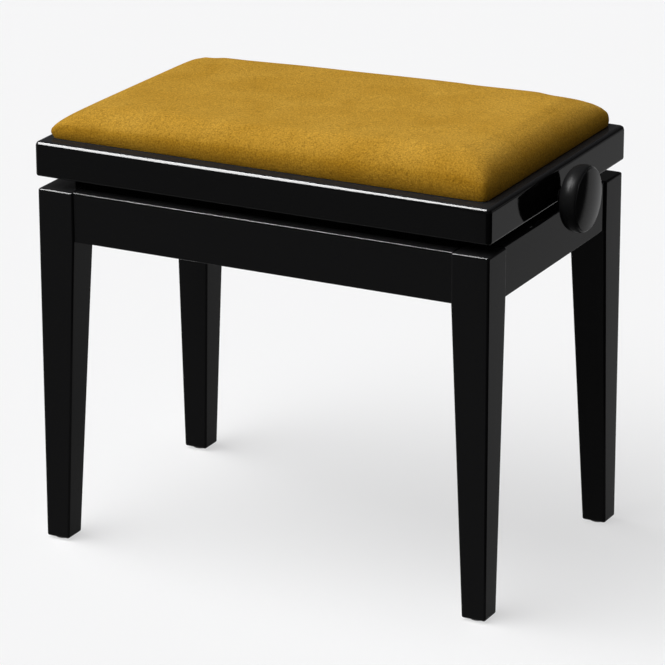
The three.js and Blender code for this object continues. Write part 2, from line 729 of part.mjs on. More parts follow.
// A rail's outline, drawn as [distance in from the outer face, height]
function railOutline() {
  const shape = new THREE.Shape();
  shape.moveTo(railFootRadius, railBottom);
  shape.lineTo(railWidth, railBottom);
  shape.lineTo(railWidth, railTop - rebateDepth);
  shape.lineTo(rimWidth, railTop - rebateDepth);
  shape.lineTo(rimWidth, railTop);
  shape.lineTo(railTopRadius, railTop);
  shape.absarc(railTopRadius, railTop - railTopRadius, railTopRadius, Math.PI / 2, Math.PI);
  shape.absarc(railFootRadius, railBottom + railFootRadius, railFootRadius, Math.PI, 1.5 * Math.PI);
  return shape;
}

// A rail along X or Y, its ends cut to a mitre and its outer corners rounded
function railSolid(length, halfSpan, direction, sign, cornerPrism) {
  const straight = bar(railOutline(), length, alongY);
  const mitred = reshape(straight, (point) => {
    const inward = point.x;
    const along = Math.sign(point.y) * (length / 2 - inward - fitGap / Math.SQRT2);
    const across = sign * (halfSpan - inward);
    if (direction === 'x') point.set(along, across, point.z);
    else point.set(across, along, point.z);
  });
  return common(mitred, cornerPrism);
}

// The strip glued inside a rail: it hangs down between two legs, and its root meets the rail
function skirtSolid(halfLength, outerFace, railFace, direction, sign) {
  const top = boardBottom - fitGap;
  const foot = railBottom - skirtDrop;
  const rootDepth = railFace + weldDepth - outerFace + skirtThickness;
  const hanging = box(2 * halfLength, skirtThickness, top - foot,
    0, sign * (outerFace - skirtThickness / 2), (top + foot) / 2);
  const root = box(2 * halfLength, rootDepth, top - railBottom,
    0, sign * (outerFace - skirtThickness + rootDepth / 2), (top + railBottom) / 2);
  const strip = join(hanging, root);
  return direction === 'x' ? strip : strip.rotateZ(-Math.PI / 2);
}

// Where a long strip's end turns in round a leg's inner corner and runs on to the short strip
function skirtReturn(signX, signY) {
  const top = boardBottom - fitGap;
  const foot = railBottom - skirtDrop;
  const [outX, outY] = [legInnerX - skirtClearance, legInnerY - skirtClearance];
  const [farX, farY] = [apronInnerX - skirtClearance - skirtThickness - fitGap, apronInnerY - skirtClearance];
  const [nearX, nearY] = [outX - skirtThickness, outY - skirtThickness];
  const besideLeg = box(skirtThickness, farY - nearY, top - foot,
    signX * (nearX + skirtThickness / 2), (signY * (farY + nearY)) / 2, (top + foot) / 2);
  const behindLeg = box(farX - nearX, skirtThickness, top - foot,
    (signX * (farX + nearX)) / 2, signY * (nearY + skirtThickness / 2), (top + foot) / 2);
  return join(besideLeg, behindLeg);
}

function addSeatFrame(group) {
  const cornerPrism = bar(roundedRectangle(seatWidth, seatDepth, seatCornerRadius),
    railHeight + 2 * cutOverrun, alongZ).translate(0, 0, railBottom + railHeight / 2);
  for (const side of sides) {
    const rail = railSolid(seatWidth, seatDepth / 2, 'x', side.sign, cornerPrism);
    const skirt = skirtSolid(legInnerX - skirtClearance, apronInnerY - skirtClearance,
      seatDepth / 2 - railWidth, 'x', side.sign);
    const returns = ends.map((end) => skirtReturn(end.sign, side.sign));
    add(group, `seat_rail_${side.name}`, join(rail, skirt, ...returns), 'lacquer');
  }
  const shaftHole = rod(journalRadius + 2 * turningGap, 2 * railWidth + cutOverrun, alongX)
    .translate(seatWidth / 2, 0, axisHeight);
  const railFace = seatWidth / 2 - railWidth;
  const notchFoot = axisHeight - collarRadius - 2 * turningGap;
  const notchDepth = railFace - apronInnerX + skirtClearance + skirtThickness;
  const bearingNotch = box(notchDepth + cutOverrun, bearingWidth + 2 * skirtClearance, railTop - notchFoot,
    railFace - (notchDepth + cutOverrun) / 2, 0, (railTop + notchFoot) / 2);
  for (const end of ends) {
    const rail = railSolid(seatDepth, seatWidth / 2, 'y', end.sign, cornerPrism);
    const skirt = skirtSolid(legInnerY - skirtClearance, apronInnerX - skirtClearance,
      railFace, 'y', end.sign);
    const whole = join(rail, skirt);
    add(group, `seat_rail_${end.name}`, end.sign > 0 ? cut(whole, shaftHole, bearingNotch) : whole, 'lacquer');
  }
  const thickness = railTop - boardBottom;
  const board = bar(roundedRectangle(2 * (rimHalfWidth - fitGap), 2 * (rimHalfDepth - fitGap), fitGap),
    thickness, alongZ).translate(0, 0, boardBottom + thickness / 2);
  const holes = screwPlaces().map((place) => screwHole(place, boardBottom, 2 * (screwInWood + fitGap)));
  add(group, 'seat_board', cut(board, ...holes), 'plywood');
}

// Cushion

// How far in from the edge a column or row of the grid lies, share being its place across the grid
function distanceIn(share, half, count) {
  const rings = Math.abs(Math.abs(share) - 1 / 2) * count;
  if (rings < edgeRings) return edgeBand * (1 - Math.cos(((rings / edgeRings) * Math.PI) / 2));
  return edgeBand + ((half - edgeBand) * (rings - edgeRings)) / (count / 2 - edgeRings);
}

// Moves one point of a unit box onto a pillow, inset being how far it lies inside the outer surface
function placeOnPillow(point, inset, bulge) {
  const [halfWidth, halfDepth] = [rimHalfWidth - cushionInset, rimHalfDepth - cushionInset];
  const [signX, signY] = [Math.sign(point.x), Math.sign(point.y)];
  const inX = distanceIn(point.x, halfWidth, coverColumns);
  const inY = distanceIn(point.y, halfDepth, coverRows);

  // Square at the base, and rounder in plan the higher up
  const fromEdge = (inX ** -cornerSharpness + inY ** -cornerSharpness) ** (-1 / cornerSharpness);

  const rise = 1 - (1 - Math.min(1, fromEdge / cushionShoulder)) ** topSharpness;
  const side = Math.max(0, rise) ** (1 / sideSharpness);
  const crown = (1 - (1 - inX / halfWidth) ** crownSharpness) * (1 - (1 - inY / halfDepth) ** crownSharpness);
  const swell = bulge * Math.sin(Math.PI * side) - inset * (1 - fromEdge / halfDepth);
  point.x = signX * Math.max(0, halfWidth - inX + swell * (1 - inX / halfWidth));
  point.y = signY * Math.max(0, halfDepth - inY + swell * (1 - inY / halfDepth));
  const fullness = 1 + (rightRiseShare * point.x) / halfWidth - (frontRiseShare * point.y) / halfDepth;
  point.z = cushionBottom + ((cushionHeight - inset) * side + cushionCrown * crown) * fullness;
}

// The cover is an upturned shell, and the foam fills it down to the board
function addCushion(group) {
  const coverGrid = new THREE.BoxGeometry(1, 1, 1, coverColumns, coverRows, 2);
  const cover = reshape(coverGrid, (point) => {
    const level = point.z;
    placeOnPillow(point, level < 0 ? coverThickness : 0, cushionBulge);
    if (level > 0) point.z += cushionHem;
  });
  add(group, 'cushion_cover', cover, 'velvet');
  const foamGrid = new THREE.BoxGeometry(1, 1, 1, coverColumns, coverRows, 1);
  const foam = reshape(foamGrid, (point) => {
    const level = point.z;
    placeOnPillow(point, coverThickness + foamClearance, level > 0 ? cushionBulge : 0);
    point.z = level > 0 ? Math.max(point.z - fitGap, cushionBottom + cushionHem) : cushionBottom;
  });
  add(group, 'foam_pad', foam, 'foam');
}

// The bench

const legFrame = new THREE.Group();
addLegs(legFrame);
addGlides(legFrame);
addAprons(legFrame);
addCorners(legFrame);
addCrossbars(legFrame);
addTracks(legFrame, 'lower', 1, lowerTrackFloor, play.reach, rodRadius + turningGap + play.height);

const lift = new THREE.Group();
addArms(lift);
addSpindle(lift);
addKnob(lift);

const seat = new THREE.Group();
addTracks(seat, 'upper', -1, upperTrackRoof, play.nut, rodRadius + turningGap);
addSeatFrame(seat);
addCushion(seat);

const bench = new THREE.Group();
bench.add(legFrame, lift, seat);
bench.position.x = -knobReach / 2;

export default bench;
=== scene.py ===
import json
import math

import bmesh
import bpy
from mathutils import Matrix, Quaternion, Vector


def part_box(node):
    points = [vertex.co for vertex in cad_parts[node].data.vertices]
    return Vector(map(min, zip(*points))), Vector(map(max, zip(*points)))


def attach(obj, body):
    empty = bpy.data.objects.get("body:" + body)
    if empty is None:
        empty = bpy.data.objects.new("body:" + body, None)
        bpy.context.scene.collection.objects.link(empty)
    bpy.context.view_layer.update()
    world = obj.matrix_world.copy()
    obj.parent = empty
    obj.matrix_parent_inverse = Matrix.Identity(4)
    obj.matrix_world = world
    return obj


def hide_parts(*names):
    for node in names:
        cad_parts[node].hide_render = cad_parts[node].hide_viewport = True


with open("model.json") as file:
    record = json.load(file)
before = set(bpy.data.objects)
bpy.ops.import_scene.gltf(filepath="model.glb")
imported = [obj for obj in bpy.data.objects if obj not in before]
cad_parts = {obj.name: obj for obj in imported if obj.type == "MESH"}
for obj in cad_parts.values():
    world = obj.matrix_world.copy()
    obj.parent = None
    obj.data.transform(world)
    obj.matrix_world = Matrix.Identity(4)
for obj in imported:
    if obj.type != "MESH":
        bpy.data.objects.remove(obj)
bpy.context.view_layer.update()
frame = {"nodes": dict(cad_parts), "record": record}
print("frame loaded:", len(frame["nodes"]), "nodes")

# x of the middle between the legs, left of the origin because the knob sticks out on the right
frameMiddle = (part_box("leg_front_left")[0].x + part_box("leg_front_right")[1].x) / 2

close = 0.0001  # places nearer than this count as one
apart = 0.001  # places further apart than this count as two


# camera and light

photoCamera = {
    "place": (1.9659, -3.8275, 1.7439),
    "target": (-0.18303, 0.318425, 0.108142),
    "roll": -0.145,  # degrees
    "lens": 221.71,
    "sensor": 36.0,
    "reach": 300,
}

studio = {
    "lampFrom": (-0.46, -0.36, 0.81),
    "lampStrength": 3.4,
    "lampDistance": 3.0,
    "lampAngle": 68.0,  # degrees, a wide soft lamp
    "cardFrom": (-0.434, -0.423, 0.795),
    "cardDistance": 2.6,
    "cardSize": (1.3, 1.9),
    "cardPower": 1500.0,
    "roomColour": (0.11, 0.11, 0.112, 1),
    "horizonColour": (0.86, 0.86, 0.87, 1),
    "horizonFade": (0.06, 0.16),  # where the pale horizon gives way to the room, as sines of the height
    "floorColour": (0.93, 0.93, 0.935, 1),
    "floorShade": 0.38,  # how much of the shadow that the floor shows
    "floorBounce": 0.12,  # how pale the floor is for the light that it throws back at the bench
    "floorSize": 120.0,
    "floorDrop": 0.0003,  # below the feet
    "darkSide": (0.888, -0.46, 0),  # gloss finds a dark studio on this side,
    "darkFade": (0.337, 0.457),  # between these distances from the middle
    "darkColour": (0.02, 0.02, 0.02, 1),
}


def addCamera():
    bpy.ops.object.camera_add(location=photoCamera["place"])
    camera = bpy.context.object
    camera.name = "photoCamera"
    look = Vector(photoCamera["target"]) - Vector(photoCamera["place"])
    roll = Quaternion((0, 0, 1), math.radians(photoCamera["roll"]))
    camera.rotation_euler = (look.to_track_quat("-Z", "Y") @ roll).to_euler()
    camera.data.sensor_width = photoCamera["sensor"]
    camera.data.lens = photoCamera["lens"]
    camera.data.clip_end = photoCamera["reach"]
    bpy.context.scene.camera = camera


def addLamps():
    towards = Vector(studio["lampFrom"]).normalized()
    bpy.ops.object.light_add(type="SUN", location=towards * studio["lampDistance"])
    lamp = bpy.context.object
    lamp.name = "softLamp"
    lamp.rotation_euler = (-towards).to_track_quat("-Z", "Y").to_euler()
    lamp.data.energy = studio["lampStrength"]
    lamp.data.angle = math.radians(studio["lampAngle"])
    # a tall card that only gloss sees, for the bright lines along the rounded edges
    towards = Vector(studio["cardFrom"]).normalized()
    bpy.ops.object.light_add(type="AREA", location=towards * studio["cardDistance"])
    card = bpy.context.object
    card.name = "edgeCard"
    card.rotation_euler = (-towards).to_track_quat("-Z", "Y").to_euler()
    card.data.shape = "RECTANGLE"
    card.data.size, card.data.size_y = studio["cardSize"]
    card.data.energy = studio["cardPower"]
    card.visible_diffuse = False
    card.visible_camera = False


# node helpers

def fill(tree, node, inputs):
    for key, value in inputs.items():
        if isinstance(value, bpy.types.NodeSocket):
            tree.links.new(value, node.inputs[key])
        else:
            node.inputs[key].default_value = value


def put(tree, kind, inputs=None, **settings):
    node = tree.nodes.new("ShaderNode" + kind)
    for key, value in settings.items():
        setattr(node, key, value)
    fill(tree, node, inputs or {})
    return node


def ramp(tree, mask, *stops):
    node = put(tree, "ValToRGB", {"Fac": mask})
    places = node.color_ramp.elements
    while len(places) < len(stops):
        places.new(0.5)
    for place, (position, colour) in zip(places, stops):
        place.position = position
        place.color = colour if hasattr(colour, "__len__") else (colour, colour, colour, 1)
    return node.outputs["Color"]


def calc(tree, operation, *terms):
    return put(tree, "Math", dict(enumerate(terms)), operation=operation).outputs["Value"]


def between(tree, value, low, high, how="LINEAR"):
    # 0 at low and 1 at high
    inputs = {"Value": value, "From Min": low, "From Max": high}
    return put(tree, "MapRange", inputs, interpolation_type=how).outputs["Result"]


def blendColours(tree, mask, first, second, how="MIX"):
    # the colours of a Mix node are its sockets 6 and 7, and the mixed one is output 2
    inputs = {0: mask, 6: first, 7: second}
    return put(tree, "Mix", inputs, data_type="RGBA", blend_type=how, clamp_factor=True).outputs[2]


def noise(tree, where, scale, detail, roughness=0.5, distortion=0.0):
    inputs = {"Vector": where, "Scale": scale, "Detail": detail, "Roughness": roughness,
              "Distortion": distortion}
    return put(tree, "TexNoise", inputs).outputs["Fac"]


def stretched(tree, where, scale):
    return put(tree, "Mapping", {"Vector": where, "Scale": scale}).outputs["Vector"]


def shareOf(tree, vector, axis):
    return put(tree, "SeparateXYZ", {"Vector": vector}).outputs[axis]


def facing(tree, axis):
    return shareOf(tree, put(tree, "NewGeometry").outputs["Normal"], axis)


def newGroup(name, scales, results):
    # a group takes coordinates and scales, and gives masks and a height
    group = bpy.data.node_groups.new(name, "ShaderNodeTree")
    group.interface.new_socket("Coordinates", in_out="INPUT", socket_type="NodeSocketVector")
    for key in scales:
        group.interface.new_socket(key, in_out="INPUT", socket_type="NodeSocketFloat")
    for key in results:
        group.interface.new_socket(key, in_out="OUTPUT", socket_type="NodeSocketFloat")
    return group, group.nodes.new("NodeGroupInput").outputs, group.nodes.new("NodeGroupOutput")


def useGroup(tree, group, where, *scales):
    node = tree.nodes.new("ShaderNodeGroup")
    node.node_tree = group
    fill(tree, node, dict(enumerate((where, *scales))))
    return node.outputs


def newMaterial(name, constants):
    material = bpy.data.materials.new(name)
    material.use_nodes = True
    tree = material.node_tree
    tree.nodes.clear()
    shader = put(tree, "BsdfPrincipled", constants)
    put(tree, "OutputMaterial", {"Surface": shader.outputs["BSDF"]})
    return material, tree, shader, put(tree, "TexCoord").outputs["Object"]


def bumpInto(tree, shader, height, strength, distance):
    bump = put(tree, "Bump", {"Height": height, "Strength": strength, "Distance": distance})
    tree.links.new(bump.outputs["Normal"], shader.inputs["Normal"])


# shared effects

def makePileGroup():
    # short fibres: fine speckle with a softer clumping under it
    group, given, out = newGroup("fibrePile", ("Fibre Scale", "Clump Scale"), ("Fibres", "Clumps", "Height"))
    fibres = noise(group, given["Coordinates"], given["Fibre Scale"], detail=2.0, roughness=0.65)
    clumps = noise(group, given["Coordinates"], given["Clump Scale"], detail=3.0, roughness=0.6)
    height = calc(group, "ADD", calc(group, "MULTIPLY", fibres, 0.7), calc(group, "MULTIPLY", clumps, 0.3))
    fill(group, out, {"Fibres": ramp(group, fibres, (0.32, 0.0), (0.68, 1.0)),
                      "Clumps": ramp(group, clumps, (0.35, 0.0), (0.65, 1.0)),
                      "Height": height})
    return group


def makeHandlingGroup():
    # faint smears and specks of dust, as any handled gloss surface has
    group, given, out = newGroup("handlingMarks", ("Smear Scale", "Speck Scale"), ("Smears", "Specks"))
    drawn = stretched(group, given["Coordinates"], (1.0, 1.0, 0.35))
    smears = noise(group, drawn, given["Smear Scale"], detail=5.0, roughness=0.62, distortion=0.6)
    specks = noise(group, given["Coordinates"], given["Speck Scale"], detail=0.0)
    fill(group, out, {"Smears": ramp(group, smears, (0.42, 0.0), (0.72, 1.0)),
                      "Specks": ramp(group, specks, (0.74, 0.0), (0.80, 1.0))})
    return group


def makeWoodGroup():
    # straight-grained timber: growth rings drawn out along one direction, with short dark pores
    group, given, out = newGroup("woodFigure", ("Ring Scale", "Pore Scale"), ("Rings", "Pores", "Height"))
    wander = put(group, "TexNoise", {"Vector": given["Coordinates"], "Scale": 7.0, "Detail": 3.0})
    sway = {0: wander.outputs["Color"], 1: (0.012, 0.012, 0.012), 2: given["Coordinates"]}
    swayed = put(group, "VectorMath", sway, operation="MULTIPLY_ADD").outputs["Vector"]
    rings = put(group, "TexWave", {"Vector": swayed, "Scale": given["Ring Scale"], "Distortion": 2.5,
                                   "Detail": 3.0, "Detail Scale": 1.5}, bands_direction="X").outputs["Fac"]
    pores = noise(group, swayed, given["Pore Scale"], detail=1.0)
    fill(group, out, {"Rings": rings,
                      "Pores": ramp(group, pores, (0.62, 0.0), (0.70, 1.0)),
                      "Height": calc(group, "SUBTRACT", calc(group, "MULTIPLY", rings, 0.4), pores)})
    return group


def makeBrushGroup():
    # fine lines left by rolling or turning, with cloudy tarnish over them
    group, given, out = newGroup("brushMarks", ("Line Scale", "Cloud Scale"), ("Lines", "Clouds"))
    lines = noise(group, given["Coordinates"], given["Line Scale"], detail=2.0)
    clouds = noise(group, given["Coordinates"], given["Cloud Scale"], detail=5.0, roughness=0.6)
    fill(group, out, {"Lines": ramp(group, lines, (0.3, 0.0), (0.7, 1.0)),
                      "Clouds": ramp(group, clouds, (0.35, 0.0), (0.7, 1.0))})
    return group


fibrePile = makePileGroup()
handlingMarks = makeHandlingGroup()
woodFigure = makeWoodGroup()
brushMarks = makeBrushGroup()


# finishes; the two numbers after a group's coordinates are its scales

def makeLacquer(name, tone, ior, gloss):
    look = {"Base Color": (tone, tone, tone, 1), "Roughness": 0.06, "IOR": ior, "Specular IOR Level": gloss}
    material, tree, shader, where = newMaterial(name, look)
    marks = useGroup(tree, handlingMarks, where, 14.0, 800.0)
    # painted reflection: what faces up is painted a little paler, standing in for the grey that the gloss
    # reflects there
    paintedReflectionMask = between(tree, facing(tree, "Z"), 0.45, 0.95)
    paintedReflectionColour = (tone + 0.016, tone + 0.016, tone + 0.017, 1)
    toneWithPaintedReflection = blendColours(tree, paintedReflectionMask, (tone, tone, tone * 1.05, 1), paintedReflectionColour)
    # real specks of dust over the painted reflection
    dusty = blendColours(tree, marks["Specks"], toneWithPaintedReflection, (0.01, 0.01, 0.01, 1))
    tree.links.new(dusty, shader.inputs["Base Color"])
    # feet scuff and dull a little near the floor
    nearFloor = between(tree, shareOf(tree, where, "Z"), 0.05, 0.0)
    scuffs = calc(tree, "MULTIPLY", nearFloor, marks["Smears"])
    dull = calc(tree, "MULTIPLY_ADD", marks["Smears"], 0.03, 0.045)
    tree.links.new(calc(tree, "MULTIPLY_ADD", scuffs, 0.18, dull), shader.inputs["Roughness"])
    # the lacquer's very slight waviness
    bumpInto(tree, shader, noise(tree, where, 160.0, detail=1.0), 0.035, 0.0002)
    return material


def makeStain():
    # unpolished wood stained black, with its grain just showing
    look = {"Roughness": 0.95, "IOR": 1.05, "Specular IOR Level": 0.0}
    material, tree, shader, where = newMaterial("blackStain", look)
    wood = useGroup(tree, woodFigure, stretched(tree, where, (0.15, 0.15, 1.0)), 60.0, 900.0)
    tone = blendColours(tree, wood["Rings"], (0.0022, 0.0022, 0.0023, 1), (0.004, 0.004, 0.004, 1))
    tree.links.new(tone, shader.inputs["Base Color"])
    bumpInto(tree, shader, wood["Height"], 0.2, 0.0002)
    return material


def makeKnobPlastic():
    black = (0.012, 0.012, 0.0125, 1)
    look = {"Base Color": black, "Roughness": 0.36, "IOR": 1.45, "Specular IOR Level": 0.012}
    material, tree, shader, where = newMaterial("knobPlastic", look)
    marks = useGroup(tree, handlingMarks, where, 45.0, 1100.0)
    dusty = blendColours(tree, marks["Specks"], black, (0.025, 0.025, 0.025, 1))
    tree.links.new(dusty, shader.inputs["Base Color"])
    # the outer face is polished, the side is duller
    polished = between(tree, facing(tree, "X"), 0.5, 0.85)
    rough = calc(tree, "MULTIPLY_ADD", marks["Smears"], 0.07, 0.32)
    rough = calc(tree, "SUBTRACT", rough, calc(tree, "MULTIPLY", polished, 0.26))
    tree.links.new(rough, shader.inputs["Roughness"])
    tree.links.new(calc(tree, "MULTIPLY_ADD", polished, 0.042, 0.012), shader.inputs["Specular IOR Level"])
    bumpInto(tree, shader, noise(tree, where, 1400.0, detail=1.0), 0.05, 0.0001)
    return material


def makeVelvet():
    look = {"Base Color": (0.5, 0.27, 0.025, 1), "Roughness": 0.95, "Specular IOR Level": 0.0,
            "Sheen Weight": 0.2, "Sheen Roughness": 0.4, "Sheen Tint": (0.95, 0.62, 0.16, 1)}
    material, tree, shader, where = newMaterial("mustardVelvet", look)
    pile = useGroup(tree, fibrePile, where, 520.0, 170.0)
    # broad soft patches where the pile lies another way
    stroked = noise(tree, where, 16.0, detail=3.0, roughness=0.55, distortion=0.5)
    patches = ramp(tree, stroked, (0.3, 0.0), (0.7, 1.0))
    # the top tones are painted light and the side tones painted shade, over the random patches
    top = blendColours(tree, patches, (0.60, 0.325, 0.036, 1), (0.71, 0.405, 0.058, 1))
    sides = blendColours(tree, patches, (0.44, 0.222, 0.016, 1), (0.52, 0.278, 0.026, 1))
    # painted light and shade: what faces up is painted paler and the sides darker, as the light falls from
    # above
    paintedLightBase = blendColours(tree, between(tree, facing(tree, "Z"), 0.45, 1.0, "SMOOTHSTEP"), sides, top)
    # the dark foot of the pile shows between the fibres, least where they clump
    foot = blendColours(tree, 0.62, paintedLightBase, (0.05, 0.016, 0.0005, 1))
    deep = blendColours(tree, pile["Fibres"], foot, paintedLightBase)
    clumped = calc(tree, "MULTIPLY_ADD", pile["Clumps"], 0.3, 0.05)
    tree.links.new(blendColours(tree, clumped, deep, paintedLightBase), shader.inputs["Base Color"])
    bumpInto(tree, shader, pile["Height"], 0.9, 0.0014)
    return material


def makeFoam():
    look = {"Base Color": (0.78, 0.74, 0.58, 1), "Roughness": 0.95, "Specular IOR Level": 0.1}
    material, tree, shader, where = newMaterial("paleFoam", look)
    cells = put(tree, "TexVoronoi", {"Vector": where, "Scale": 700.0}).outputs["Distance"]
    shade = ramp(tree, cells, (0.05, (0.50, 0.46, 0.33, 1)), (0.45, (0.80, 0.76, 0.60, 1)))
    tree.links.new(shade, shader.inputs["Base Color"])
    bumpInto(tree, shader, cells, 0.8, 0.0012)
    return material


def makeWood(name, along, light, dark, porous, rough):
    look = {"Roughness": rough, "IOR": 1.2, "Specular IOR Level": 0.1}
    material, tree, shader, where = newMaterial(name, look)
    wood = useGroup(tree, woodFigure, stretched(tree, where, along), 38.0, 700.0)
    tone = blendColours(tree, wood["Rings"], light, dark)
    pores = calc(tree, "MULTIPLY", wood["Pores"], porous)
    deepest = [part * 0.45 for part in dark[:3]] + [1]
    tree.links.new(blendColours(tree, pores, tone, deepest), shader.inputs["Base Color"])
    bumpInto(tree, shader, wood["Height"], 0.25, 0.0003)
    return material


def makeMetal(name, colour, tarnish, rough, along, lineScale):
    look = {"Base Color": colour, "Roughness": rough, "Metallic": 1.0}
    material, tree, shader, where = newMaterial(name, look)
    marks = useGroup(tree, brushMarks, stretched(tree, where, along), lineScale, 40.0)
    tree.links.new(blendColours(tree, marks["Clouds"], colour, tarnish), shader.inputs["Base Color"])
    spread = calc(tree, "MULTIPLY_ADD", marks["Lines"], 0.14, rough - 0.07)
    tree.links.new(spread, shader.inputs["Roughness"])
    bumpInto(tree, shader, marks["Lines"], 0.12, 0.0001)
    return material


def makeNylon():
    look = {"Base Color": (0.02, 0.02, 0.021, 1), "Roughness": 0.45, "Specular IOR Level": 0.4}
    material, tree, shader, where = newMaterial("blackNylon", look)
    grain = noise(tree, where, 900.0, detail=2.0)
    tone = ramp(tree, grain, (0.3, (0.016, 0.016, 0.017, 1)), (0.7, (0.03, 0.03, 0.031, 1)))
    tree.links.new(tone, shader.inputs["Base Color"])
    bumpInto(tree, shader, grain, 0.3, 0.0002)
    return material


def stainRim(material, height):
    # the board's top edge shows in the rebate round the cushion, so it is stained like the frame
    tree = material.node_tree
    shader = next(node for node in tree.nodes if node.type == "BSDF_PRINCIPLED")
    raw = shader.inputs["Base Color"].links[0].from_socket
    where = next(node for node in tree.nodes if node.type == "TEX_COORD").outputs["Object"]
    stained = calc(tree, "GREATER_THAN", shareOf(tree, where, "Z"), height)
    tree.links.new(blendColours(tree, stained, raw, (0.003, 0.003, 0.003, 1)), shader.inputs["Base Color"])


# painted shade: the leg frame gets its own copy of the black lacquer, with another tone and a weaker
# reflection, so the legs and aprons render darker in reflection than the rails
legLacquerShadeCopy = makeLacquer("legLacquerShadeCopy", 0.0075, 1.2, 0.15)
stain = makeStain()
finishes = {
    "lacquer": makeLacquer("blackLacquer", 0.0035, 1.3, 0.105),
    "knob": makeKnobPlastic(),
    "velvet": makeVelvet(),
    "foam": makeFoam(),
    "plywood": makeWood("birchPlywood", (0.12, 1.0, 1.0), (0.58, 0.42, 0.25, 1), (0.45, 0.30, 0.16, 1),
                        0.3, 0.75),
    "beech": makeWood("planedBeech", (1.0, 0.10, 1.0), (0.52, 0.33, 0.18, 1), (0.40, 0.235, 0.12, 1),
                      0.75, 0.5),
    "zinc": makeMetal("zincPlate", (0.56, 0.58, 0.60, 1), (0.36, 0.38, 0.40, 1), 0.34,
                      (0.05, 1.0, 1.0), 1400.0),
    "steel": makeMetal("turnedSteel", (0.50, 0.51, 0.53, 1), (0.30, 0.30, 0.31, 1), 0.26,
                       (1.0, 0.06, 1.0), 1800.0),
    "brass": makeMetal("machinedBrass", (0.62, 0.44, 0.18, 1), (0.40, 0.27, 0.10, 1), 0.30,
                       (1.0, 0.08, 1.0), 1500.0),
    "nylon": makeNylon(),
}
rimDepth = 0.003
stainRim(finishes["plywood"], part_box("seat_board")[1].z - rimDepth)
for part in frame["record"]["subparts"]:
    node = frame["nodes"][part["node"]]
    node.data.materials.clear()
    node.data.materials.append(finishes[part["material_slot"]])
print("finishes made:", len(finishes))


# modelling helpers

def leaveAll():
    if bpy.context.object and bpy.context.object.mode != "OBJECT":
        bpy.ops.object.mode_set(mode="OBJECT")
    bpy.ops.object.select_all(action="DESELECT")


def workOn(piece, mode="OBJECT"):
    leaveAll()
    piece.select_set(True)
    bpy.context.view_layer.objects.active = piece
    if mode == "EDIT":
        bpy.ops.object.mode_set(mode="EDIT")


def choose(kind, test):
    # in edit mode: selects the vertices, edges or faces that pass the test
    bpy.ops.mesh.select_mode(type={"verts": "VERT", "edges": "EDGE", "faces": "FACE"}[kind])
    bpy.ops.mesh.select_all(action="DESELECT")
    mesh = bmesh.from_edit_mesh(bpy.context.object.data)
    for element in getattr(mesh, kind):
        if test(element):
            element.select_set(True)
    mesh.select_flush_mode()
    bmesh.update_edit_mesh(bpy.context.object.data)


def middleOf(element):
    return sum((vertex.co for vertex in element.verts), Vector()) / len(element.verts)


def block(name, low, high):
    leaveAll()
    low, high = Vector(low), Vector(high)
    bpy.ops.mesh.primitive_cube_add(size=1, location=(low + high) / 2, scale=high - low)
    bpy.ops.object.transform_apply(location=True, rotation=True, scale=True)
    piece = bpy.context.object
    piece.name = piece.data.name = name
    return piece


def copyOf(piece, name):
    twin = piece.copy()
    twin.data = piece.data.copy()
    twin.name = twin.data.name = name
    bpy.context.scene.collection.objects.link(twin)
    return twin


def mirrored(piece, name, flipX, flipY):
    twin = copyOf(piece, name)
    workOn(twin, "EDIT")
    bpy.ops.mesh.select_all(action="SELECT")
    flip = (-1 if flipX else 1, -1 if flipY else 1, 1)
    bpy.ops.transform.resize(value=flip, center_override=(frameMiddle, 0, 0))
    if flipX != flipY:
        bpy.ops.mesh.normals_make_consistent(inside=False)
    leaveAll()
    return twin


def applyModifier(piece, kind, **settings):
    workOn(piece)
    modifier = piece.modifiers.new(kind.title(), kind)
    for key, value in settings.items():
        setattr(modifier, key, value)
    bpy.ops.object.modifier_apply(modifier=modifier.name)


def roundEdges(piece, widthOf, segments):
    # widthOf gives each edge's own rounding, nothing where it stays sharp
    mesh = bmesh.new()
    mesh.from_mesh(piece.data)
    weights = mesh.edges.layers.float.new("bevel_weight_edge")
    widths = [widthOf(edge) for edge in mesh.edges]
    for edge, width in zip(mesh.edges, widths):
        edge[weights] = width / max(widths)
    mesh.to_mesh(piece.data)
    mesh.free()
    applyModifier(piece, "BEVEL", width=max(widths), segments=segments, limit_method="WEIGHT",
                  use_clamp_overlap=False)


def smoothFaces(piece, angle=30):
    workOn(piece)
    bpy.ops.object.shade_smooth_by_angle(angle=math.radians(angle))
    applyModifier(piece, "WEIGHTED_NORMAL", weight=50, keep_sharp=True)
    leaveAll()


def finishPiece(piece, body, slot, *nodes, finish=None):
    piece.data.materials.clear()
    piece.data.materials.append(finish or finishes[slot])
    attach(piece, body)
    if nodes:
        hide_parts(*nodes)


def turned(name, axis, centre, profile, steps):
    # a piece as from a lathe: the profile's pairs are a distance along the axis and a radius
    axis, centre = Vector(axis), Vector(centre)
    side = Vector((0, 0, 1)) if axis.z == 0 else Vector((1, 0, 0))
    points = [centre + axis * along + side * radius for along, radius in profile]
    leaveAll()
    bpy.ops.mesh.primitive_plane_add(size=apart, location=points[0])
    bpy.ops.object.transform_apply(location=True)
    piece = bpy.context.object
    piece.name = piece.data.name = name
    workOn(piece, "EDIT")
    bpy.ops.mesh.select_mode(type="VERT")
    bpy.ops.mesh.select_all(action="SELECT")
    bpy.ops.mesh.merge(type="CENTER")
    for here, there in zip(points, points[1:]):
        bpy.ops.mesh.extrude_vertices_move(TRANSFORM_OT_translate={"value": there - here})
    bpy.ops.mesh.select_all(action="SELECT")
    bpy.ops.mesh.spin(steps=steps, angle=2 * math.pi, center=centre, axis=axis)
    bpy.ops.mesh.select_all(action="SELECT")
    bpy.ops.mesh.remove_doubles(threshold=close / 10)
    bpy.ops.mesh.normals_make_consistent(inside=False)
    leaveAll()
    return piece


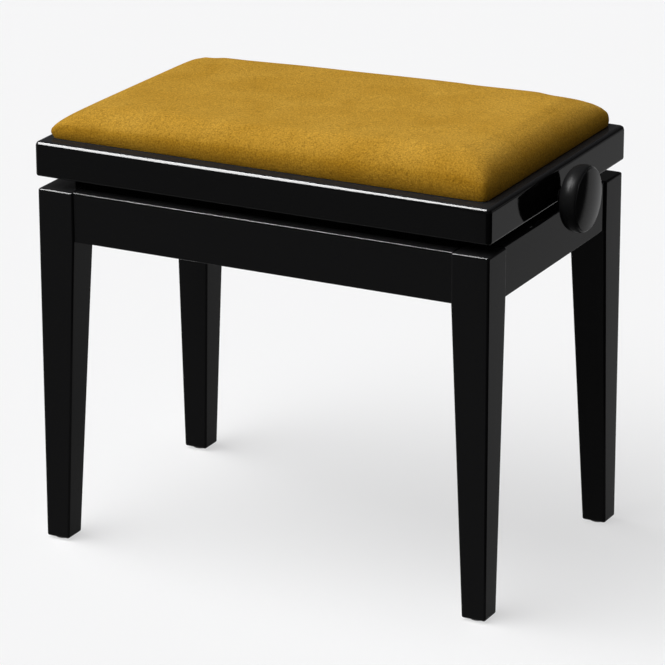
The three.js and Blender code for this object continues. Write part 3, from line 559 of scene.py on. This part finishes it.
def curve(start, handle, end, count):
    # points of a rounded stretch of profile, without its first
    shares = [step / count for step in range(1, count + 1)]
    return [tuple(a * (1 - t) ** 2 + 2 * b * t * (1 - t) + c * t ** 2 for a, b, c in zip(start, handle, end))
            for t in shares]


# legs

legLook = {
    "edge": 0.0026,  # rounding of the long edges
    "end": 0.0026,  # rounding of the top and the foot
    "footWidth": 0.0285,
    "taperFrom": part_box("apron_front")[0].z,
    "segments": 5,
}


def addLegs():
    low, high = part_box("leg_front_left")
    leg = block("legFrontLeft", low, high)
    workOn(leg, "EDIT")
    bpy.ops.mesh.select_all(action="SELECT")
    bpy.ops.mesh.bisect(plane_co=(0, 0, legLook["taperFrom"]), plane_no=(0, 0, 1))
    choose("verts", lambda vertex: vertex.co.z < low.z + apart)
    share = legLook["footWidth"] / (high.x - low.x)
    bpy.ops.transform.resize(value=(share, share, 1), center_override=(low.x, low.y, low.z))
    leaveAll()

    def width(edge):
        first, second = (vertex.co for vertex in edge.verts)
        if abs(first.z - second.z) > apart:
            return legLook["edge"]
        return 0 if abs(first.z - legLook["taperFrom"]) < apart else legLook["end"]

    roundEdges(leg, width, legLook["segments"])
    for name, node, flipX, flipY in (("legFrontRight", "leg_front_right", True, False),
                                     ("legRearLeft", "leg_rear_left", False, True),
                                     ("legRearRight", "leg_rear_right", True, True)):
        twin = mirrored(leg, name, flipX, flipY)
        smoothFaces(twin)
        finishPiece(twin, "leg_frame", "lacquer", node, finish=legLacquerShadeCopy)
    smoothFaces(leg)
    finishPiece(leg, "leg_frame", "lacquer", "leg_front_left", finish=legLacquerShadeCopy)


# aprons

apronLook = {"edge": 0.0015, "segments": 4, "tenonInset": 0.0045, "tenonHeight": 0.041, "tenonLength": 0.016}


def addApron(name, node, along):
    # along is 0 for a long apron and 1 for a short one
    low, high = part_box(node)
    low, high = low.copy(), high.copy()
    low[along] += apronLook["tenonLength"]
    high[along] -= apronLook["tenonLength"]
    apron = block(name, low, high)
    middle = (low + high) / 2
    workOn(apron, "EDIT")
    for end in (low, high):
        choose("faces", lambda face: abs(middleOf(face)[along] - end[along]) < close)
        bpy.ops.mesh.inset(thickness=apronLook["tenonInset"])
        share = apronLook["tenonHeight"] / (high.z - low.z - 2 * apronLook["tenonInset"])
        bpy.ops.transform.resize(value=(1, 1, share), center_override=middle)
        out = [0, 0, 0]
        out[along] = math.copysign(apronLook["tenonLength"], end[along] - middle[along])
        bpy.ops.mesh.extrude_region_move(TRANSFORM_OT_translate={"value": out})
    leaveAll()

    def width(edge):
        first, second = (vertex.co for vertex in edge.verts)
        return apronLook["edge"] if abs(first[along] - second[along]) > 2 * apronLook["tenonLength"] else 0

    roundEdges(apron, width, apronLook["segments"])
    smoothFaces(apron)
    finishPiece(apron, "leg_frame", "lacquer", node, finish=legLacquerShadeCopy)


# seat frame

railLook = {
    "height": 0.040,
    "rim": 0.0155,  # flat top strip
    "width": 0.022,
    "rebate": 0.012,
    "topEdge": 0.0055,
    "corner": 0.0052,
    "footEdge": 0.0032,
    "innerEdge": 0.0004,
    "segments": 8,
    "mitreGap": 0.00004,
}


def addSeatFrame():
    front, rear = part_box("seat_rail_front"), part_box("seat_rail_rear")
    left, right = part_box("seat_rail_left"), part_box("seat_rail_right")
    high = Vector((right[1].x, rear[1].y, front[1].z))
    low = Vector((left[0].x, front[0].y, high.z - railLook["height"]))
    ring = block("seatRing", low, high)
    workOn(ring, "EDIT")
    choose("faces", lambda face: face.normal.z > 0.9)
    bpy.ops.mesh.inset(thickness=railLook["rim"])
    bpy.ops.mesh.extrude_region_move(TRANSFORM_OT_translate={"value": (0, 0, -railLook["rebate"])})
    bpy.ops.mesh.inset(thickness=railLook["width"] - railLook["rim"])
    toFoot = low.z - high.z + railLook["rebate"]
    bpy.ops.mesh.extrude_region_move(TRANSFORM_OT_translate={"value": (0, 0, toFoot)})
    bpy.ops.mesh.delete(type="FACE")
    choose("faces", lambda face: face.normal.z < -0.9)
    bpy.ops.mesh.inset(thickness=railLook["width"])
    bpy.ops.mesh.delete(type="FACE")
    bpy.ops.mesh.select_all(action="SELECT")
    bpy.ops.mesh.remove_doubles(threshold=close / 10)
    leaveAll()

    def onOutside(vertex):
        return (min(abs(vertex.co.x - low.x), abs(vertex.co.x - high.x)) < close
                or min(abs(vertex.co.y - low.y), abs(vertex.co.y - high.y)) < close)

    def width(edge):
        first, second = edge.verts
        outside = onOutside(first) and onOutside(second)
        upright = abs(first.co.z - second.co.z) > apart
        onTop = first.co.z > high.z - apart
        if outside:
            if upright:
                return railLook["corner"]
            return railLook["topEdge"] if onTop else railLook["footEdge"]
        if upright or onOutside(first) or onOutside(second):
            return 0
        return railLook["innerEdge"] if onTop else 0

    roundEdges(ring, width, railLook["segments"])
    # each rail keeps what lies between its two mitre planes
    for side, away in (("front", (0, -1)), ("rear", (0, 1)), ("left", (-1, 0)), ("right", (1, 0))):
        away = Vector((*away, 0))
        rail = copyOf(ring, "rail" + side.title())
        workOn(rail, "EDIT")
        for turn in (-1, 1):
            across = Vector((away.y * turn, away.x * turn, 0))
            corner = Vector((high.x if away.x + across.x > 0 else low.x,
                             high.y if away.y + across.y > 0 else low.y, 0))
            cut = (across - away).normalized()
            bpy.ops.mesh.select_all(action="SELECT")
            bpy.ops.mesh.bisect(plane_co=corner - cut * railLook["mitreGap"], plane_no=cut, use_fill=True,
                                clear_outer=True)
        leaveAll()
        smoothFaces(rail)
        finishPiece(rail, "seat", "lacquer", "seat_rail_" + side)
    bpy.data.objects.remove(ring)


# strips glued inside the rails: they hang down between the legs and close the gap under the seat frame

stripLook = {
    "thickness": 0.008,
    "hang": 0.003,  # how much lower they end than the solids, so that no light shows over the legs
    "play": 0.001,  # beside the aprons and legs
    "root": 0.0015,  # how far the glued part reaches out to the rail
    "edge": 0.0008,
    "segments": 3,
    "notchHalf": 0.026,  # the right strip has a notch for the spindle's bearing plate
    "notchFrom": 0.4234,
    "fit": 0.0003,
}


def addBlock(piece, low, high, operation="UNION"):
    other = block("otherBlock", low, high)
    applyModifier(piece, "BOOLEAN", object=other, operation=operation)
    bpy.data.objects.remove(other)


def finishStrip(strip, foot):
    def width(edge):
        return stripLook["edge"] if max(vertex.co.z for vertex in edge.verts) < foot + close else 0

    roundEdges(strip, width, stripLook["segments"])
    smoothFaces(strip)
    finishPiece(strip, "seat", "lacquer", finish=stain)


def addStrips():
    look = stripLook
    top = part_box("seat_rail_front")[1].z
    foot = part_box("seat_rail_front")[0].z - look["hang"]
    railFoot, head = top - railLook["height"], top - railLook["rebate"] - look["fit"]
    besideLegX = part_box("leg_front_right")[0].x - frameMiddle - look["play"]
    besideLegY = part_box("leg_rear_left")[0].y - look["play"]
    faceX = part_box("seat_rail_right")[1].x - frameMiddle - railLook["width"] - look["root"]
    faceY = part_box("seat_rail_rear")[1].y - railLook["width"] - look["root"]
    thick = look["thickness"]
    for name, sign in (("stripFront", -1), ("stripRear", 1)):
        def spread(lowX, highX, nearY, farY):
            near, far = sorted((nearY * sign, farY * sign))
            return (frameMiddle + lowX, near), (frameMiddle + highX, far)

        low, high = spread(-besideLegX, besideLegX, faceY - thick, faceY)
        strip = block(name, (*low, foot), (*high, head))
        low, high = spread(-besideLegX, besideLegX, faceY - thick / 2, faceY + look["root"])
        addBlock(strip, (*low, railFoot), (*high, head))
        # each end turns in round the leg's inner corner and runs on to the short strip
        for turn in (-1, 1):
            ends = sorted(((besideLegX - thick) * turn, besideLegX * turn))
            low, high = spread(*ends, besideLegY - thick, faceY - thick / 2)
            addBlock(strip, (*low, foot), (*high, head))
            ends = sorted(((besideLegX - thick / 2) * turn, (faceX - thick - look["fit"]) * turn))
            low, high = spread(*ends, besideLegY - thick, besideLegY)
            addBlock(strip, (*low, foot), (*high, head))
        finishStrip(strip, foot)
    for name, sign in (("stripLeft", -1), ("stripRight", 1)):
        ends = sorted((frameMiddle + (faceX - thick) * sign, frameMiddle + faceX * sign))
        strip = block(name, (ends[0], -besideLegY, foot), (ends[1], besideLegY, head))
        ends = sorted((frameMiddle + (faceX - thick / 2) * sign, frameMiddle + (faceX + look["root"]) * sign))
        addBlock(strip, (ends[0], -besideLegY, railFoot), (ends[1], besideLegY, head))
        if sign > 0:
            addBlock(strip, (ends[0] - thick, -look["notchHalf"], look["notchFrom"]),
                     (ends[1] + thick, look["notchHalf"], top), "DIFFERENCE")
        finishStrip(strip, foot)


# knob

knobLook = {
    "radius": 0.037,
    "faceRadius": 0.0344,
    "dome": 0.0028,
    "rimRadius": 0.0012,
    "widestFromFace": 0.013,
    "backRadius": 0.022,
    "neckRadius": 0.011,
    "neckLength": 0.0085,
    "boreRadius": 0.0053,
    "boreDepth": 0.0183,
    "neckEdge": 0.0006,
    "backEdge": (0.0004, 0.0012),  # how far the back's swell starts out from the back and in from the radius
    "neckSteps": 3,
    "rimSteps": 6,
    "sideSteps": 12,
    "broadSteps": 16,
    "steps": 96,
    "sharpAngle": 40,  # degrees; a sharper edge stays sharp
}


def addKnob():
    look = knobLook
    low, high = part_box("knob")
    start, end = low.x, high.x
    axisHeight = (low.z + high.z) / 2
    back, widest, rim = start + look["neckLength"], end - look["widestFromFace"], end - look["dome"]
    radius, face, neck, soft = look["radius"], look["faceRadius"], look["neckRadius"], look["neckEdge"]
    swell, turn = look["backEdge"], look["rimRadius"]
    profile = [(start + look["boreDepth"], 0), (start + look["boreDepth"], look["boreRadius"]),
               (start, look["boreRadius"]), (start, neck - soft)]
    profile += curve(profile[-1], (start, neck), (start + soft, neck), look["neckSteps"])
    profile += [(back - soft, neck)]
    profile += curve(profile[-1], (back, neck), (back, neck + soft), look["neckSteps"])
    profile += [(back, look["backRadius"])]
    profile += curve(profile[-1], (back + swell[0], radius - swell[1]), (widest, radius), look["broadSteps"])
    profile += curve(profile[-1], (rim - turn, radius), (rim - turn, face), look["sideSteps"])
    profile += curve(profile[-1], (rim, face), (rim, face - turn), look["rimSteps"])
    profile += curve(profile[-1], (end, face / 2), (end, 0), look["broadSteps"])
    knob = turned("knobTurned", (1, 0, 0), (0, 0, axisHeight), profile, look["steps"])
    smoothFaces(knob, look["sharpAngle"])
    finishPiece(knob, "knob_and_spindle", "knob", "knob")


# round pieces of the lift, turned smooth in place of the solids' flats

liftLook = {
    "steps": 48,
    "sharpAngle": 25,
    "chamfer": 0.0004,
    "rodRadius": 0.004,
    "headLength": 0.0012,
    "boreFit": 0.0003,
}


def addPin(name, node, body):
    # a round bar across the bench with a riveted head at each end
    look = liftLook
    low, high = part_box(node)
    half, radius, head = (high.y - low.y) / 2, (high.z - low.z) / 2, look["headLength"]
    ease, shank = look["chamfer"], look["rodRadius"]
    profile = [(-half, 0), (-half, radius - ease), (-half + ease, radius), (-half + head, radius),
               (-half + head, shank), (half - head, shank), (half - head, radius), (half - ease, radius),
               (half, radius - ease), (half, 0)]
    pin = turned(name, (0, 1, 0), (low + high) / 2, profile, look["steps"])
    smoothFaces(pin, look["sharpAngle"])
    finishPiece(pin, body, "steel", node)


def addRing(name, node, body, slot):
    # a ring round the spindle's journal
    look = liftLook
    low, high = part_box(node)
    half, radius, ease = (high.x - low.x) / 2, (high.z - low.z) / 2, look["chamfer"]
    bore = spindleLook["journalRadius"] + look["boreFit"]
    profile = [(-half, bore), (-half, radius - ease), (-half + ease, radius), (half - ease, radius),
               (half, radius - ease), (half, bore), (-half, bore)]
    ring = turned(name, (1, 0, 0), (low + high) / 2, profile, look["steps"])
    smoothFaces(ring, look["sharpAngle"])
    finishPiece(ring, body, slot, node)


spindleLook = {
    "threadPitch": 0.003,
    "threadDepth": 0.0011,
    "threadRadius": 0.006,
    "ridge": (0.08, 0.33, 0.67, 0.92),  # where a ridge starts, tops out, leaves its top and ends, in pitches
    "journalRadius": 0.005,
    "endJournalRadius": 0.004,
    "steps": 32,
}


def addSpindle():
    look = spindleLook
    low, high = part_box("spindle")
    axisHeight = (low.z + high.z) / 2
    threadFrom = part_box("end_bracket")[1].x + liftLook["boreFit"]
    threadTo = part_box("thrust_collar")[0].x - liftLook["boreFit"]
    ease, radius, pitch = liftLook["chamfer"], look["threadRadius"], look["threadPitch"]
    core, thin, journal = radius - look["threadDepth"], look["endJournalRadius"], look["journalRadius"]
    profile = [(low.x, 0), (low.x, thin - ease), (low.x + ease, thin), (threadFrom, thin), (threadFrom, core)]
    # the thread's ridges stand one pitch apart, and each is a trapezoid
    for turn in range(int((threadTo - threadFrom) / pitch) - 1):
        root = threadFrom + (turn + 0.5) * pitch
        profile += [(root + pitch * share, height)
                    for share, height in zip(look["ridge"], (core, radius, radius, core))]
    profile += [(threadTo, core), (threadTo, journal), (high.x - ease, journal), (high.x, journal - ease),
                (high.x, 0)]
    spindle = turned("spindleTurned", (1, 0, 0), (0, 0, axisHeight), profile, look["steps"])
    smoothFaces(spindle, liftLook["sharpAngle"])
    finishPiece(spindle, "knob_and_spindle", "steel", "spindle")


glideLook = {
    "thickness": 0.002,
    "edge": 0.0006,
    "pinRadius": 0.0014,
    "pinPoint": 0.0003,
    "steps": 40,
}


def addGlide(name, node):
    look = glideLook
    low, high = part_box(node)
    middle = (low + high) / 2
    radius, thick, ease, pin = (high.x - low.x) / 2, look["thickness"], look["edge"], look["pinRadius"]
    profile = [(low.z, 0), (low.z, radius - ease), (low.z + ease / 3, radius - ease / 3),
               (low.z + ease, radius), (low.z + thick, radius), (low.z + thick, pin),
               (high.z - look["pinPoint"], pin), (high.z, 0)]
    glide = turned(name, (0, 0, 1), (middle.x, middle.y, 0), profile, look["steps"])
    smoothFaces(glide, liftLook["sharpAngle"])
    finishPiece(glide, "leg_frame", "nylon", node)


def addLiftPieces():
    for name, node, body in (("lowerPivotRod", "lower_pivot_rod", "leg_frame"),
                             ("upperPivotRod", "upper_pivot_rod", "seat"),
                             ("lowerSlidingRod", "lower_sliding_rod", "falling_arms"),
                             ("centrePinFront", "centre_pin_front", "rising_arms"),
                             ("centrePinRear", "centre_pin_rear", "rising_arms")):
        addPin(name, node, body)
    addRing("thrustCollar", "thrust_collar", "knob_and_spindle", "steel")
    addRing("knobWasher", "knob_washer", "seat", "nylon")
    addSpindle()
    for side in ("front", "rear"):
        for end in ("left", "right"):
            addGlide("glide" + side.title() + end.title(), "foot_glide_" + side + "_" + end)


# cushion: a velvet cover pulled over a foam pad

cushion = {
    "width": 0.5228,
    "depth": 0.3194,
    "bottom": 0.4663,
    "height": 0.0336,
    "shift": (-0.0010, 0.005),  # it lies a little to the left and the rear in its frame
    "shoulder": 0.035,  # how far in from the edge the sides go on rising
    "crown": 0.002,
    "bulge": 0.009,
    "rightBulge": 0.5,  # the right end swells only this share of it
    "belly": 0.7,  # below 1 the sides swell lower down
    "rightRise": 0.225,  # how much fuller it is at its right end than in the middle
    "frontRise": 0.13,
    "topPower": 2.5,  # a higher power flattens the top sooner
    "sidePower": 1.6,  # a higher power makes the sides steeper
    "cornerPower": 1.5,  # a higher power keeps the corners square further up
    "crownPower": 4.0,
    "cuts": 58,
    "below": 0.006,  # the cover starts this much lower, and is trimmed at the frame
    "startInset": 0.0015,
    "voxel": 0.005,
    "pinnedTo": 0.001,  # above the bottom, what the simulation leaves in place
    "clothQuality": 6,
    "pressure": 4.0,
    "frames": 20,
    "mostMove": 0.002,  # how far the simulation may take the cover from its drawn form
    "quickFrom": 0.004,  # a height above the bottom
    "evenings": 5,  # passes that even out the cover's folds
    "wall": 0.0016,
    "foamInset": 0.0046,
    "foamVoxel": 0.008,
    "sharpAngle": 50,
}


tiny = 1e-6
outer = 0.4999  # beyond this a place is on the outside of a block of one unit


def pillowPoint(place, inset, bulge):
    # where a place on the block's top, half a unit out at its edges, lies on the cushion
    look = cushion
    halfWidth, halfDepth = look["width"] / 2, look["depth"] / 2
    inX = halfWidth * (1 - math.cos((1 - 2 * abs(place.x)) * math.pi / 2))
    inY = halfDepth * (1 - math.cos((1 - 2 * abs(place.y)) * math.pi / 2))
    power = look["cornerPower"]
    onEdge = min(inX, inY) < tiny
    fromEdge = 0 if onEdge else (inX ** -power + inY ** -power) ** (-1 / power)
    rise = 1 - (1 - min(1, fromEdge / look["shoulder"])) ** look["topPower"]
    side = rise ** (1 / look["sidePower"])
    acrossX, acrossY = 1 - inX / halfWidth, 1 - inY / halfDepth
    crown = (1 - acrossX ** look["crownPower"]) * (1 - acrossY ** look["crownPower"])
    swell = bulge * math.sin(math.pi * side ** look["belly"])
    swell -= inset * min(1, 4 * side) * (1 - fromEdge / halfDepth)
    share = look["rightBulge"] if place.x > 0 else 1
    x = math.copysign(max(0, halfWidth - inX + share * swell * acrossX), place.x)
    y = math.copysign(max(0, halfDepth - inY + swell * acrossY), place.y)
    fullness = 1 + look["rightRise"] * x / halfWidth - look["frontRise"] * y / halfDepth
    rise = ((look["height"] - inset) * side + look["crown"] * crown) * fullness
    return Vector((frameMiddle + look["shift"][0] + x, look["shift"][1] + y, look["bottom"] + rise))


def pillow(name, inset, below):
    piece = block(name, (-0.5, -0.5, -0.5), (0.5, 0.5, 0.5))
    workOn(piece, "EDIT")
    bpy.ops.mesh.select_all(action="SELECT")
    bpy.ops.mesh.subdivide(number_cuts=cushion["cuts"])
    leaveAll()
    for vertex in piece.data.vertices:
        x, y, level = vertex.co
        onTop = level > outer
        spot = pillowPoint(vertex.co, inset, cushion["bulge"] if onTop else 0)
        if not onTop:  # the sides and the underside hang straight down from the top's outline
            onSide = abs(x) > outer or abs(y) > outer
            share = (0.5 - level) if onSide and level > -outer else 1
            spot.z = cushion["bottom"] - below * share
        vertex.co = spot
    return piece


def clothMoves(cover, start):
    # how far each place of the cover goes when air presses it out, with its foot pinned
    look = cushion
    pinned = cover.vertex_groups.new(name="pinned")
    low = [index for index, place in enumerate(start) if place.z < look["bottom"] + look["pinnedTo"]]
    pinned.add(low, 1.0, "REPLACE")
    workOn(cover)
    cloth = cover.modifiers.new("Cloth", "CLOTH")
    cloth.settings.quality = look["clothQuality"]
    cloth.settings.vertex_group_mass = "pinned"
    cloth.settings.use_pressure = True
    cloth.settings.uniform_pressure_force = look["pressure"]
    cloth.settings.effector_weights.gravity = 0
    cloth.collision_settings.use_collision = False
    for step in range(1, look["frames"] + 1):
        bpy.context.scene.frame_set(step)
    bpy.ops.object.modifier_apply(modifier="Cloth")
    bpy.context.scene.frame_set(1)
    moved = [vertex.co - place for vertex, place in zip(cover.data.vertices, start)]
    print("cloth moved at most", round(max(step.length for step in moved) * 1000, 2), "mm")
    return moved


def addCushion():
    look = cushion
    cover = pillow("velvetCover", look["startInset"], look["below"])
    applyModifier(cover, "REMESH", mode="VOXEL", voxel_size=look["voxel"])
    start = [vertex.co.copy() for vertex in cover.data.vertices]
    normals = [vertex.normal.copy() for vertex in cover.data.vertices]
    most = look["mostMove"]
    moved = clothMoves(cover, start)
    for vertex, place, outward, step in zip(cover.data.vertices, start, normals, moved):
        out = min(max(step.dot(outward), 0), most)
        along = step - outward * step.dot(outward)
        vertex.co = place + outward * out + along * min(1, most / max(along.length, tiny))
    cover.vertex_groups.clear()
    applyModifier(cover, "SMOOTH", factor=0.5, iterations=look["evenings"])
    applyModifier(cover, "SUBSURF", levels=1, render_levels=1)
    workOn(cover, "EDIT")
    bpy.ops.mesh.select_all(action="SELECT")
    bpy.ops.mesh.bisect(plane_co=(0, 0, look["bottom"]), plane_no=(0, 0, -1), clear_outer=True)
    leaveAll()
    applyModifier(cover, "SOLIDIFY", thickness=look["wall"], offset=-1)
    workOn(cover)
    bpy.ops.object.shade_smooth_by_angle(angle=math.radians(look["sharpAngle"]))
    finishPiece(cover, "seat", "velvet", "cushion_cover")

    pad = pillow("foamPad", look["foamInset"], 0)
    applyModifier(pad, "REMESH", mode="VOXEL", voxel_size=look["foamVoxel"])
    workOn(pad)
    bpy.ops.object.shade_smooth_by_angle(angle=math.radians(look["sharpAngle"]))
    finishPiece(pad, "seat", "foam", "foam_pad")


# floor and room

def looksAndGloss(tree):
    # 1 where something is looked at straight, in gloss or through glass, and 1 where it is in gloss
    path = put(tree, "LightPath").outputs
    straight = calc(tree, "MAXIMUM", path["Is Camera Ray"], path["Is Glossy Ray"])
    return calc(tree, "MAXIMUM", straight, path["Is Transmission Ray"]), path["Is Glossy Ray"]


def addFloor():
    leaveAll()
    bpy.ops.mesh.primitive_plane_add(size=studio["floorSize"], location=(0, 0, -studio["floorDrop"]))
    bpy.ops.object.transform_apply(location=True)
    floor = bpy.context.object
    floor.name = "studioFloor"
    material, tree, shader, where = newMaterial("paleFloor", {"Roughness": 1.0, "Specular IOR Level": 0.0})
    pale = studio["floorColour"]
    mottled = [part * 0.995 for part in pale[:3]] + [1]
    tone = ramp(tree, noise(tree, where, 1.5, detail=2.0), (0.3, mottled), (0.7, pale))
    # the rounded corners mirror the unlit side of the studio, which no straight look takes in
    seen, inGloss = looksAndGloss(tree)
    aside = put(tree, "VectorMath", {0: where, 1: studio["darkSide"]}, operation="DOT_PRODUCT")
    beyond = between(tree, aside.outputs["Value"], *studio["darkFade"])
    unlit = calc(tree, "MULTIPLY", beyond, inGloss)
    tone = blendColours(tree, unlit, tone, studio["darkColour"])
    # seen straight or in gloss it is nearly white, with a soft shadow; it throws little light back
    shade, bounce = studio["floorShade"], studio["floorBounce"]
    shaded = blendColours(tree, 1.0, tone, (shade, shade, shade, 1), "MULTIPLY")
    tree.links.new(blendColours(tree, seen, (bounce, bounce, bounce, 1), shaded), shader.inputs["Base Color"])
    tree.links.new(tone, shader.inputs["Emission Color"])
    tree.links.new(calc(tree, "MULTIPLY", seen, 1 - shade), shader.inputs["Emission Strength"])
    floor.data.materials.append(material)


def addSky():
    world = bpy.data.worlds.new("studioRoom")
    bpy.context.scene.world = world
    world.use_nodes = True
    tree = world.node_tree
    tree.nodes.clear()
    height = shareOf(tree, put(tree, "TexCoord").outputs["Generated"], "Z")
    horizon, room = studio["horizonColour"], studio["roomColour"]
    fadeFrom, fadeTo = studio["horizonFade"]
    sky = ramp(tree, height, (0.0, horizon), (fadeFrom, horizon), (fadeTo, room))
    seen, inGloss = looksAndGloss(tree)
    background = put(tree, "Background", {"Color": blendColours(tree, seen, room, sky), "Strength": 1.0})
    put(tree, "OutputWorld", {"Surface": background.outputs["Background"]})


addCamera()
addLamps()
addFloor()
addSky()
print("camera, lamps and room set")
addLegs()
for side, along in (("front", 0), ("rear", 0), ("left", 1), ("right", 1)):
    addApron("apron" + side.title() + "Board", "apron_" + side, along)
print("leg frame dressed")
addSeatFrame()
addStrips()
addKnob()
print("seat frame and knob dressed")
addLiftPieces()
print("lift pieces turned")
addCushion()
print("cushion made")

bpy.context.scene.view_settings.view_transform = "Standard"
leaveAll()
